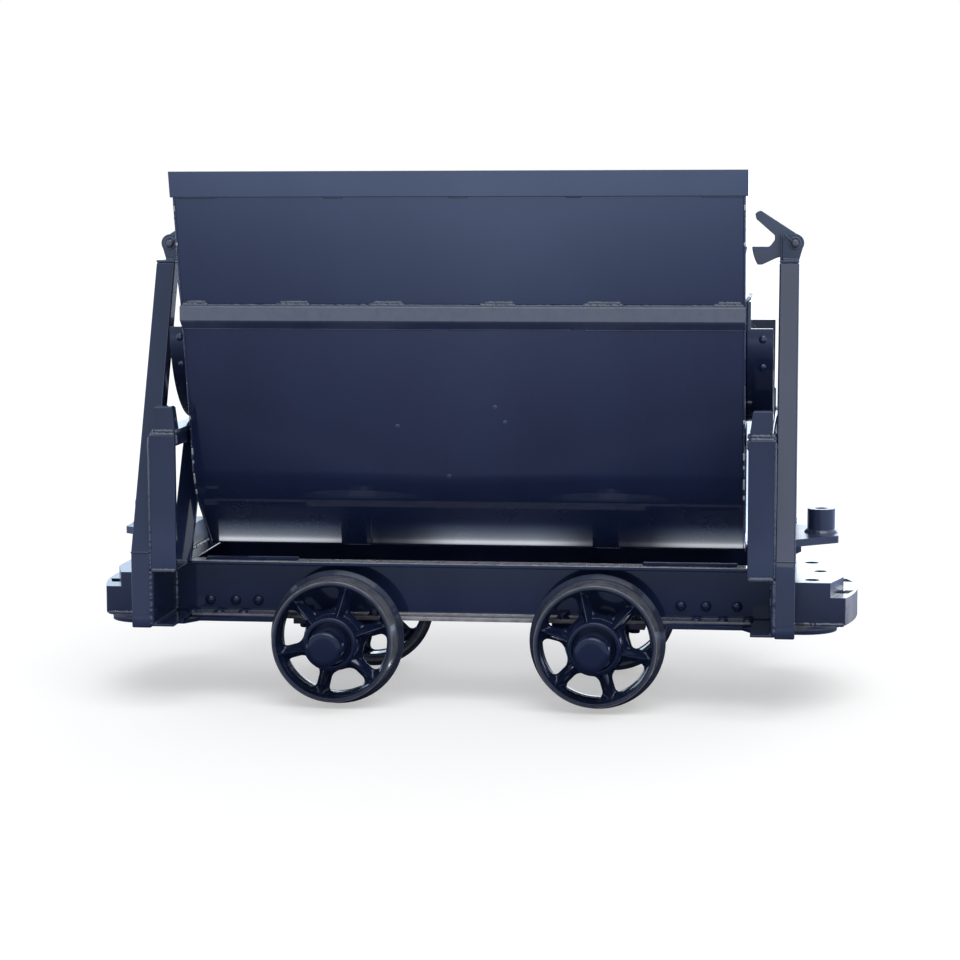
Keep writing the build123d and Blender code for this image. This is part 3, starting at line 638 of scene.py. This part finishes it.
for end, place, spoke_turn in (("front", AXLE_X, radians(16)), ("rear", -AXLE_X, radians(-14))):
    castings = [(wheel_side(grid, side, place, spoke_turn), rows, cols)
                for side in (1, -1) for grid, rows, cols in wheel_parts]
    wheels = surfaces(f"wheel_castings_{end}", castings, wheel_enamel, f"wheelset_{end}")
    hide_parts(f"wheels_{end}")
    caps = surfaces(f"grease_caps_{end}",
                    [(wheel_side(turned(cap, 64), side, place, spoke_turn), False, True) for side in (1, -1)],
                    wheel_enamel, f"wheelset_{end}")
    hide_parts(f"hub_caps_{end}")
soften(["axle_front", "axle_rear"], cast_enamel, 0.001)

# End frames: box-section legs bent at the knee, welded to the end beams and closed by a cap plate on top.
# The bends and the feet show ground and painted runs of weld.
leg_enamel = enamel("leg_enamel", (0.012, 0.018, 0.052), (0.019, 0.029, 0.078), dust=0.2, wave=(10, 3e-4),
                    coat=0.45, top=0.9)
soften(["end_frame_front", "end_frame_rear"], leg_enamel, 0.004, 3)
KNEE = (0.453, 0.412)
LEG_IN_X = 0.788
LEG_OUT_X = 0.838
outer_side = [(x, KNEE[0] + 0.0006, KNEE[1]) for x in (LEG_IN_X + 0.002, LEG_OUT_X - 0.002)]
outer_face = [(LEG_OUT_X + 0.0002, y, z) for y, z in (KNEE, (0.403, 0.402))]
inner_face = [(LEG_IN_X - 0.0002, y, z) for y, z in (KNEE, (0.403, 0.402))]
leg_welds = [
    (outer_side, 0.0017), (outer_face, 0.0017), (inner_face, 0.0017),
    ([(LEG_IN_X - 0.001, 0.4515, 0.223), (LEG_IN_X - 0.001, 0.4515, 0.366)], 0.0046),
    ([(LEG_IN_X - 0.001, 0.4530, 0.366), (LEG_IN_X - 0.001, 0.4530, 0.707)], 0.0030),
    ([(LEG_OUT_X - 0.002, 0.402, 0.364), (LEG_IN_X + 0.002, 0.402, 0.364)], 0.0035),
    ([(LEG_IN_X - 0.0005, 0.402, 0.369), (LEG_IN_X - 0.0005, 0.402, 0.400)], 0.0035),
]
welds("leg_welds", leg_welds, "chassis")

# Rolling rails: inverted channels between plate posts, propped by two leaning flats at each end,
# with a cast stop block near each end. All of it is bevelled and welded on.
rail_enamel = enamel("rail_enamel", NAVY_DEEP, NAVY_PALE, gloss=0.26, dust=0.2, wave=(14, 4e-4),
                     coat=0.5, top=1.0)
soften(["rolling_rail_front", "rolling_rail_rear"], rail_enamel)
soften(["rail_posts"], leg_enamel)
soften(["rail_props"], frame_enamel)
soften(["rail_stops"], leg_enamel, 0.003)
rail_welds = [
    ([(0.722, 0.4400, 0.7115), (0.786, 0.4400, 0.7115)], 0.0060),
    ([(0.721, 0.4525, 0.3670), (0.787, 0.4525, 0.3670)], 0.0050),
    ([(0.7195, 0.4370, 0.684), (0.7195, 0.4370, 0.712)], 0.0035),
    ([(0.724, 0.4375, 0.7205), (0.777, 0.4375, 0.7205)], 0.0045),
    ([(0.7225, 0.436, 0.7185), (0.7225, 0.393, 0.7185)], 0.0050),
    ([(0.7780, 0.436, 0.7200), (0.7780, 0.393, 0.7200)], 0.0045),
    ([(0.724, 0.3925, 0.7205), (0.777, 0.3925, 0.7205)], 0.0045),
    ([(0.729, 0.2880, 0.3675), (0.775, 0.2880, 0.3675)], 0.0050),
    ([(0.729, 0.2675, 0.3675), (0.775, 0.2675, 0.3675)], 0.0050),
    ([(0.7215, 0.1120, 0.6815), (0.7215, 0.0920, 0.6815)], 0.0035),
]
seam_paint = enamel("seam_enamel", (0.075, 0.090, 0.135), (0.11, 0.125, 0.165), gloss=0.34, dust=0.1,
                    peel=(900, 5e-5), wave=(180, 3e-4), coat=0.6)
welds("rail_welds", rail_welds, "chassis", paint=seam_paint)

# Bumpers: heavy iron castings with a stepped deck, bored for the coupling pin and two chain pins, and welded
# to the foot plates and the end beams. The front one's round nose is painted pale: a painted highlight.
bumper_enamel = enamel("bumper_enamel", (0.012, 0.019, 0.052), (0.020, 0.029, 0.074), gloss=0.24, dust=0.25,
                       peel=(200, 1.4e-4), wave=(36, 6e-4), coat=0.6, top=1.0, mirror=0.2)
soften(["bumper_rear"], bumper_enamel, 0.005, 3)
nose_painted_highlight_enamel = enamel("nose_painted_highlight_enamel", (0.008, 0.013, 0.042), (0.014, 0.021, 0.060), gloss=0.24, dust=0.25,
                     peel=(200, 1.4e-4), wave=(36, 6e-4), coat=0.8, top=1.0, mirror=0.2)
# Painted highlight: the front bumper's nose is painted pale from 0.964 m out.
wear_and_highlight(nose_painted_highlight_enamel, (0, 0, 0), (1, 0, 0), ((0.90, 0.0), (0.964, 0.0), (0.969, 0.95), (1.01, 0.95)),
     (0.34, 0.34, 0.35))
soften(["bumper_front"], nose_painted_highlight_enamel, 0.005, 3)
bumper_welds = [
    ([(0.789, 0.2145, 0.2185), (0.964, 0.2145, 0.2185)], 0.0055),
    ([(0.7885, 0.2145, 0.222), (0.7885, 0.2145, 0.322)], 0.0050),
    ([(0.7885, 0.212, 0.3265), (0.7885, 0.003, 0.3265)], 0.0055),
]
welds("bumper_welds", bumper_welds, "chassis")

# Coupler jaws: a tapered plate welded to the end beam on a back plate and two knees, with the pin's sleeve
# standing on a flared run of weld.
jaw_enamel = enamel("jaw_enamel", (0.020, 0.030, 0.070), (0.032, 0.043, 0.098), gloss=0.26, dust=0.3,
                    peel=(240, 1.2e-4), wave=(40, 5e-4), coat=0.6, top=0.9, mirror=0.3)
soften(["coupler_jaw_front", "coupler_jaw_rear"], jaw_enamel, 0.0025)
PIN_X = 0.903
sleeve_foot = turned(eased([(0.030, 0.4285), (0.0445, 0.4285), (0.0435, 0.4325), (0.0375, 0.4395),
                            (0.030, 0.4395)], [0.001, 0.001, 0.003, 0.003, 0.001]), 64)
surfaces("sleeve_weld", [(placed(sleeve_foot, [(PIN_X, 0, 0), (-PIN_X, 0, 0)], (0, 0, 1)), True, True)],
         weld_paint, "chassis")
jaw_welds = [
    ([(0.7765, 0.161, 0.3675), (0.7765, 0.003, 0.3675)], 0.0045),
    ([(0.7885, 0.160, 0.4105), (0.7885, 0.003, 0.4105)], 0.0045),
    ([(0.7890, 0.1495, 0.372), (0.7890, 0.1495, 0.408)], 0.0045),
]
welds("jaw_welds", jaw_welds, "chassis")

# Bucket: 6 mm steel sheet bent round a narrow keel, closed by two flat end plates, with a flat bar
# round the mouth and a rib down each side. All of it is welded, sanded only where the paint shows.
bucket_enamel = enamel("bucket_enamel", (0.009, 0.016, 0.053), (0.012, 0.021, 0.066), gloss=0.24, dust=0.12,
                       peel=(340, 4e-6), wave=(4.5, 4e-4), mirror=0.02)
soften(["bucket_sheet", "bucket_end_front", "bucket_end_rear"], bucket_enamel, 0.0012)
rim_enamel = enamel("rim_enamel", (0.020, 0.031, 0.080), (0.030, 0.043, 0.098), dust=0.12, wave=(7, 3e-4))
soften(["rim_band"], rim_enamel, 0.0018)
# The rib's enamel is lighter than the bucket's, and its outer face is painted paler still: a painted
# highlight on the rib.
rib_painted_highlight_enamel = enamel("rib_painted_highlight_enamel", (0.027, 0.040, 0.098), (0.040, 0.056, 0.124), dust=0.3, wave=(12, 3e-4))
wear_and_highlight(rib_painted_highlight_enamel, (0, 0, 0), (0, 1, 0), ((0.4150, 0.0), (0.4215, 1.0), (0.43, 1.0)), (0.068, 0.081, 0.119))
soften(["side_ribs"], rib_painted_highlight_enamel, 0.001)
END_X = 0.709
RIM_Z = 1.371
RIM_Y = 0.496
BAND_FOOT = 1.307
BEND_Z = 0.549
KEEL = (0.100, 0.391)
SIDE_LEAN = radians(14.5)
BEND_EASE = 0.0627
KEEL_EASE = 0.012
BEND_STEPS = 9
EDGE_TOP = 1.31


def side_y(z):
    """Half width of the bucket's straight side at a height: it falls in by the tangent of its lean."""
    return RIM_Y - (RIM_Z - z) * tan(SIDE_LEAN)


def section_path(inset):
    """The bucket's section as (y, z) points from rim to rim, moved in by a distance, with eased bends."""
    half = np.array([(side_y(RIM_Z) - inset, RIM_Z), (side_y(BEND_Z) - inset, BEND_Z + inset * 0.35),
                     (KEEL[0] - inset * 0.3, KEEL[1] + inset)])
    line = np.concatenate([half, half[::-1] * [-1, 1]])
    ease = [0, BEND_EASE, KEEL_EASE, KEEL_EASE, BEND_EASE, 0]
    return eased(line, ease, BEND_STEPS)[BEND_STEPS:-BEND_STEPS]


def edge_run(x, inset, z_from, z_to):
    """A stretch of the section's line between two heights, read off at 40 of them, at one place along X.
    It stands plumb above its top point."""
    line = section_path(inset)
    line = np.concatenate([[(side_y(EDGE_TOP) - inset, EDGE_TOP)], line[:len(line) // 2]])
    z = np.linspace(z_from, z_to, 40)
    y = np.interp(-z, -line[:, 1], line[:, 0])
    return np.stack([0 * z + x, y, z], 1)


def level_runs(spans, y, z, size):
    """Straight weld runs along the bucket at one width and height, from rows of their two ends."""
    return [([(a, y, z), (b, y, z)], size) for a, b in spans]


BOTH_SIDES = ((1, -1), (-1, 1))
RIB_TOP = 1.037
RIB_FOOT = 0.978
rib_y = side_y(RIB_TOP)
rib_spans = ((-0.706, -0.636), (-0.467, -0.374), (-0.230, -0.135), (0.049, 0.144), (0.305, 0.410),
             (0.627, 0.706))
rib_runs = level_runs(rib_spans, rib_y + 0.0015, RIB_TOP + 0.001, 0.0062)
rib_runs += level_runs([(a + 0.012, b - 0.006) for a, b in rib_spans], rib_y + 0.002, RIB_TOP + 0.008, 0.0046)
seam_runs = level_runs(((-0.705, -0.42), (-0.38, -0.07), (-0.03, 0.28), (0.31, 0.705)),
                       side_y(RIB_FOOT) + 0.0008, RIB_FOOT - 0.0008, 0.0022)
seam_runs += level_runs(((-0.700, -0.60), (-0.33, -0.28), (-0.02, 0.03), (0.27, 0.31), (0.60, 0.705)),
                        side_y(BAND_FOOT) + 0.001, BAND_FOOT - 0.0008, 0.0024)
welds("rib_welds", rib_runs, "bucket", BOTH_SIDES, seam_paint)
joint_runs = level_runs([(-0.707, 0.707)], rib_y + 0.0012, RIB_TOP + 0.0002, 0.0034)
welds("rib_joints", joint_runs, "bucket", BOTH_SIDES, rim_enamel, 0.02)
welds("seam_welds", seam_runs, "bucket", BOTH_SIDES)
OUTER_EDGE = END_X - 0.0018
INNER_EDGE = END_X - 0.0075
edge_runs = [(edge_run(OUTER_EDGE, 0.0004, top, foot), 0.0018) for top, foot in
             ((1.30, 1.17), (1.10, 1.045), (0.99, 0.90), (0.84, 0.78), (0.72, 0.60), (0.575, 0.44))]
edge_runs += [([(OUTER_EDGE, 0.098, 0.3905), (OUTER_EDGE, 0.0, 0.3905)], 0.0021),
              (edge_run(INNER_EDGE, 0.0070, 1.36, 0.41), 0.0034),
              ([(INNER_EDGE, 0.100, 0.3985), (INNER_EDGE, 0.0, 0.3985)], 0.0034)]
welds("bucket_welds", edge_runs, "bucket")
# Specks of bare weld on the bucket ends' outer edges, painted near white to stand for glints: painted
# highlights.
raw_weld_glint = enamel("raw_weld_glint", (0.34, 0.36, 0.40), (0.60, 0.62, 0.66), gloss=0.4, dust=0.1,
                  peel=(900, 5e-5), wave=(200, 2e-4), coat=0.3)
speck_runs = [(edge_run(END_X - 0.0024, -0.0006, top, top - length), 0.0024) for top, length in
              ((1.288, 0.016), (1.196, 0.010), (0.752, 0.012), (0.668, 0.022), (0.634, 0.010), (0.600, 0.030),
               (0.556, 0.014))]
welds("raw_weld_glints", speck_runs, "bucket", paint=raw_weld_glint)

# Four plug welds in each side hold the wear plate behind it. They were filled from outside, dressed almost
# flush and painted over.
PLUGS = [(-0.169, 0.728), (0.082, 0.779), (0.106, 0.740), (-0.042, 0.598)]
PLUG_R = 0.0062
PLUG_RISE = 0.0007
plug_at = np.array([(x, -side_y(z), z) for x, z in PLUGS] + [(-x, side_y(z), z) for x, z in PLUGS])
plug_normal = np.sign(plug_at) * [0, cos(SIDE_LEAN), 0] - [0, 0, sin(SIDE_LEAN)]
inward = np.linspace(0, 1, 5)
plug_dome = turned(np.stack([PLUG_R * (1 - inward ** 2), PLUG_RISE * (2 * inward - inward ** 2)], 1), 20)
surfaces("plug_welds", [(placed(plug_dome, plug_at, plug_normal), False, True)],
         weld_paint, "bucket")

# Rockers: a segment plate on each bucket end, edged by a curved steel tread that is held with countersunk
# screws. The plate is welded to the bucket's end, and some screws stand a little proud of the tread.
soften(["rocker_plate_front", "rocker_plate_rear"], bucket_enamel, 0.0015)
soften(["rocker_tread_front", "rocker_tread_rear"], leg_enamel)
ROCK_Z = 0.975
TREAD_R = 0.2547
TREAD_X = 0.750
SCREW_R = 0.0105
ROCKER_WELD_R = 0.2340
screw_angle = np.radians([6, 23, 61])
screw_angle = np.concatenate([-screw_angle, screw_angle - pi])
screw_normal = np.stack([0 * screw_angle, np.cos(screw_angle), np.sin(screw_angle)], 1)
screw_at = [0, 0, ROCK_Z] + screw_normal * (TREAD_R - 0.0002)
screw_at = np.concatenate([screw_at + [TREAD_X, 0, 0], screw_at - [TREAD_X, 0, 0]])
screw_rise = np.tile([0.0050, 0.0050, 0.0004], 4)
screw_grids = [placed(dome(SCREW_R, rise, 6, 24), at, normal)
               for rise, at, normal in zip(screw_rise, screw_at, np.tile(screw_normal, (2, 1)))]
surfaces("tread_screws", [(grid, False, True) for grid in screw_grids], bucket_enamel, "bucket")
sweep = np.linspace(radians(-3), radians(-177), 60)
segment_run = np.stack([0 * sweep + 0.7200, ROCKER_WELD_R * np.cos(sweep),
                        ROCK_Z + ROCKER_WELD_R * np.sin(sweep)], 1)
rocker_runs = [(segment_run, 0.0040), ([(0.7095, 0.222, 1.0425), (0.7095, -0.222, 1.0425)], 0.0040)]
welds("rocker_welds", rocker_runs, "bucket", ((1, 1), (-1, 1)))

# Latches: two cheeks on the end frame's cap plate, a headed steel pin kept by a split pin, and a lever with
# a tongue over the bucket's end and a handle. The cheeks are welded down on their outer sides.
latch_enamel = enamel("latch_enamel", (0.026, 0.042, 0.092), (0.040, 0.060, 0.120), dust=0.15,
                      wave=(20, 3e-4), coat=0.6)
soften(["latch_bracket_front", "latch_bracket_rear"], latch_enamel, 0.0012)
lever_enamel = enamel("lever_enamel", (0.052, 0.070, 0.128), (0.080, 0.104, 0.170), dust=0.15,
                      wave=(20, 3e-4), coat=0.6)
soften(["latch_lever_front", "latch_lever_rear"], lever_enamel, 0.0022)
bright_steel = enamel("bright_steel", (0.10, 0.105, 0.12), (0.17, 0.175, 0.19), gloss=0.32, dust=0.1,
                      peel=(900, 3e-5), wave=(90, 1e-4), coat=0.2)
bright_steel.node_tree.nodes["Principled BSDF"].inputs["Metallic"].default_value = 0.9
soften(["latch_pin_front", "latch_pin_rear"], bright_steel, 0.001)
LATCH_PIN = (0.826, 0.024, 1.185)
pin_ends = signs([LATCH_PIN])
pin_normals = np.sign(pin_ends) * [0, 1, 0]
pin_head = turned([(0.0168, 0), (0.0168, 0.0020), (0.0160, 0.0030), (0.0128, 0.0030), (0.0120, 0.0012),
                   (0.0098, 0.0012), (0.0096, 0.0090), (0.0082, 0.0115), (0.0045, 0.0122), (0.0, 0.0122)], 32)
surfaces("latch_pin_heads", [(placed(pin_head, pin_ends, pin_normals), False, True)],
         seam_paint, "chassis")
split_pin = [(0.7985, 0.0262, 1.2080), (0.806, 0.0275, 1.2010), (0.814, 0.0300, 1.1940),
             (0.820, 0.0310, 1.1890)]
welds("split_pins", [(split_pin, 0.0017)], "chassis", paint=seam_paint, pitch=0.02)
latch_runs = [([(0.790, 0.0245, 1.1435), (0.836, 0.0245, 1.1435)], 0.0030),
              ([(0.7955, 0.0240, 1.1450), (0.7955, 0.0240, 1.2050)], 0.0022)]
welds("latch_welds", latch_runs, "chassis")

# Floor: a pale sheet that takes the cart's shadow. The camera sees it nearly white. For glossy rays only it
# turns dark and glows with a brightness set by place, which paints reflections on the cart: a narrow strip
# under the keel, up to about seven times white, with painted shade where the axles stand, fading at the ends,
# painted shade around it, and bright from about 2.5 m off. The strip is a width's ramp times a length's.
FLOOR_HALF = 60
FLOOR_LIFT = 0.42
DARK_MIDDLE = -0.15
SIDE_SLOPE = -0.52
END_SLOPE = 0.8
END_START = -0.2
floor_corners = ((-1, -1), (1, -1), (1, 1), (-1, 1))
floor_mesh = bpy.data.meshes.new("floor")
floor_mesh.from_pydata([(x * FLOOR_HALF, y * FLOOR_HALF, 0) for x, y in floor_corners], [], [(0, 1, 2, 3)])
floor = bpy.data.objects.new("floor", floor_mesh)
bpy.context.scene.collection.objects.link(floor)
pale = bpy.data.materials.new("pale_floor")
pale.use_nodes = True
floor_tree = pale.node_tree
board = floor_tree.nodes["Principled BSDF"]
board.inputs["Roughness"].default_value = 0.9
board.inputs["Specular IOR Level"].default_value = 0.1
board.inputs["Emission Strength"].default_value = 1.0


def sheen(value, low, high, stops):
    """Glow that the floor shows in gloss only, a painted reflection: a ramp of colours over a value, divided
    by the brightest one to fit the ramp and multiplied by it again."""
    top = max(max(colour) for _, colour in stops)
    shares = [(at, tuple(part / top for part in colour)) for at, colour in stops]
    ramp = ramp_over(floor_tree, value, low, high, shares)
    scale = floor_tree.nodes.new("ShaderNodeVectorMath")
    scale.operation = "SCALE"
    scale.inputs["Scale"].default_value = top
    floor_tree.links.new(ramp, scale.inputs[0])
    return scale.outputs["Vector"]


def number(work, *values):
    """A number that the floor works out at each point: one operation on values or earlier numbers."""
    step = floor_tree.nodes.new("ShaderNodeMath")
    step.operation = work
    for socket, value in zip(step.inputs, values):
        if isinstance(value, (int, float)):
            socket.default_value = value
        else:
            floor_tree.links.new(value, socket)
    return step.outputs[0]


def either(tree, share, first, second):
    """A colour that is the first one, or by a share the second; each is a colour or a link."""
    mix = tree.nodes.new("ShaderNodeMix")
    mix.data_type = "RGBA"
    tree.links.new(share, mix.inputs[0])
    for socket, value in zip(mix.inputs[6:8], (first, second)):
        if isinstance(value, tuple):
            socket.default_value = value
        else:
            tree.links.new(value, socket)
    return mix.outputs[2]


spot = floor_tree.nodes.new("ShaderNodeSeparateXYZ")
floor_tree.links.new(floor_tree.nodes.new("ShaderNodeTexCoord").outputs["Object"], spot.inputs[0])
depth = number("ABSOLUTE", spot.outputs["Y"])
aside = number("ABSOLUTE", number("ADD", spot.outputs["X"], -DARK_MIDDLE))
to_side = number("MULTIPLY_ADD", aside, SIDE_SLOPE, depth)
to_end = number("MULTIPLY_ADD", aside, END_SLOPE, END_START)
reach = number("MAXIMUM", to_side, to_end)
# Painted reflection: the glow in gloss is dark near the cart, a painted shade, and bright farther off.
painted_gloss_field = sheen(reach, 0.0, 12.0, [
    (0.6, (0.0, 0.0, 0.01)), (0.8, (0.05, 0.06, 0.10)), (0.93, (0.12, 0.15, 0.25)),
    (1.03, (0.20, 0.235, 0.35)), (1.15, (0.20, 0.235, 0.345)), (1.45, (0.33, 0.37, 0.62)),
    (1.8, (0.50, 0.60, 1.00)), (2.2, (0.75, 0.97, 1.45)), (2.6, (1.10, 1.40, 2.15)),
    (3.0, (1.30, 1.65, 2.40)), (3.8, (0.95, 1.15, 1.60)), (8.0, (0.85, 1.00, 1.35)),
    (12.0, (1.15, 1.30, 1.65))])
# Painted reflection: the bright strip under the keel.
painted_keel_glow = sheen(depth, 0.0, 0.08, [
    (0.0, (6.4, 6.7, 7.2)), (0.003, (6.0, 6.3, 6.8)), (0.005, (4.5, 4.7, 5.2)), (0.007, (3.3, 3.5, 4.0)),
    (0.0115, (2.1, 2.3, 2.65)), (0.0165, (1.5, 1.65, 2.0)), (0.0215, (1.2, 1.35, 1.65)),
    (0.0315, (0.66, 0.8, 1.05)), (0.043, (0.28, 0.38, 0.58)), (0.052, (0.08, 0.12, 0.24)),
    (0.060, (0.0, 0.0, 0.0))])
# Painted shade: the strip dims where the axles stand and fades out beyond the bucket's ends.
painted_axle_shade = sheen(spot.outputs["X"], -0.95, 0.95, [(place, (share, share, share)) for place, share in (
    (-0.95, 0.0), (-0.75, 1.0), (-0.56, 0.93), (-0.46, 0.70), (-0.40, 0.36), (-0.348, 0.10), (-0.32, 0.04),
    (-0.24, 0.12), (-0.19, 0.33), (-0.13, 0.80), (-0.09, 1.0), (0.12, 1.0), (0.19, 0.68), (0.25, 0.25),
    (0.31, 0.04), (0.38, 0.04), (0.44, 0.13), (0.51, 0.62), (0.56, 0.82), (0.72, 0.90), (0.95, 0.0))])
painted_glow = floor_tree.nodes.new("ShaderNodeVectorMath")
painted_glow.operation = "MULTIPLY_ADD"
for source, socket in zip((painted_keel_glow, painted_axle_shade, painted_gloss_field), painted_glow.inputs):
    floor_tree.links.new(source, socket)
floor_rays = floor_tree.nodes.new("ShaderNodeLightPath").outputs
lift = number("MULTIPLY", floor_rays["Is Camera Ray"], FLOOR_LIFT)
shown = either(floor_tree, floor_rays["Is Glossy Ray"], lift, painted_glow.outputs[0])
floor_tree.links.new(shown, board.inputs["Emission Color"])
# For glossy rays the floor's own colour is nearly black, so that only the painted glow shows in the cart's
# gloss.
ground = either(floor_tree, floor_rays["Is Glossy Ray"], (0.68, 0.68, 0.68, 1), (0.02, 0.02, 0.02, 1))
floor_tree.links.new(ground, board.inputs["Base Color"])
floor_mesh.materials.append(pale)

# Room: a white room round the cart, full white to the camera and at a plain level where it lights. In gloss
# it is bluish and somewhat brighter than white. A soft sun from the front and a weaker one from behind
# stand for its lamps.
ROOM_LEVEL = 0.55
SUN_WIDTH = radians(50)
world = bpy.data.worlds.new("white_room")
bpy.context.scene.world = world
world.use_nodes = True
room_tree = world.node_tree
sky = room_tree.nodes["Background"]
room_rays = room_tree.nodes.new("ShaderNodeLightPath").outputs
air = either(room_tree, room_rays["Is Glossy Ray"], (1, 1, 1, 1), (1.05, 1.30, 1.60, 1))
room_tree.links.new(air, sky.inputs["Color"])
seen = room_rays["Is Camera Ray"]
for kind in ("Is Glossy Ray", "Is Transmission Ray"):
    larger = room_tree.nodes.new("ShaderNodeMath")
    larger.operation = "MAXIMUM"
    room_tree.links.new(seen, larger.inputs[0])
    room_tree.links.new(room_rays[kind], larger.inputs[1])
    seen = larger.outputs[0]
level = room_tree.nodes.new("ShaderNodeMapRange")
level.inputs["To Min"].default_value = ROOM_LEVEL
level.inputs["To Max"].default_value = 1.0
room_tree.links.new(seen, level.inputs["Value"])
room_tree.links.new(level.outputs["Result"], sky.inputs["Strength"])


def soft_sun(name, at, to, strength):
    """A wide sun lamp that points from one place to another."""
    data = bpy.data.lights.new(name, "SUN")
    data.energy = strength
    data.angle = SUN_WIDTH
    made = bpy.data.objects.new(name, data)
    bpy.context.scene.collection.objects.link(made)
    aim = (Vector(to) - Vector(at)).to_track_quat("-Z", "Y")
    made.matrix_world = Matrix.Translation(at) @ aim.to_matrix().to_4x4()


soft_sun("key_sun", (1.2, -3.4, 6.2), (0, 0, 0.6), 1.3)
soft_sun("back_sun", (1.2, 5.0, 1.8), (0, 0, 0.6), 0.6)

# Camera: it stands about 7 m from the cart's side, a little to the front and above, as it was read from the
# wheels' circles and the frame's lines. Its angles are turned into the three directions that it holds.
YAW, PITCH, ROLL = radians(-7.346), radians(-6.846), radians(-0.153)
STAND = (0.8507, -7.0053, 1.3227)
FOCAL_PX = 2666.2
IMAGE_PX = 960
CENTRE_PX = (459.96, 510.49)
SENSOR_MM = 36
forward = Vector((sin(YAW) * cos(PITCH), cos(YAW) * cos(PITCH), sin(PITCH)))
right = Vector((cos(YAW), -sin(YAW), 0))
above = right.cross(forward)
right, above = right * cos(ROLL) + above * sin(ROLL), above * cos(ROLL) - right * sin(ROLL)
lens = bpy.data.cameras.new("camera")
lens.sensor_width = SENSOR_MM
lens.lens = FOCAL_PX / IMAGE_PX * SENSOR_MM
lens.shift_x = (IMAGE_PX / 2 - CENTRE_PX[0]) / IMAGE_PX
lens.shift_y = (CENTRE_PX[1] - IMAGE_PX / 2) / IMAGE_PX
lens.clip_end = 200
camera = bpy.data.objects.new("camera", lens)
bpy.context.scene.collection.objects.link(camera)
camera.matrix_world = Matrix.Translation(STAND) @ Matrix((right, above, -forward)).transposed().to_4x4()
bpy.context.scene.camera = camera
bpy.context.scene.view_settings.view_transform = "Standard"
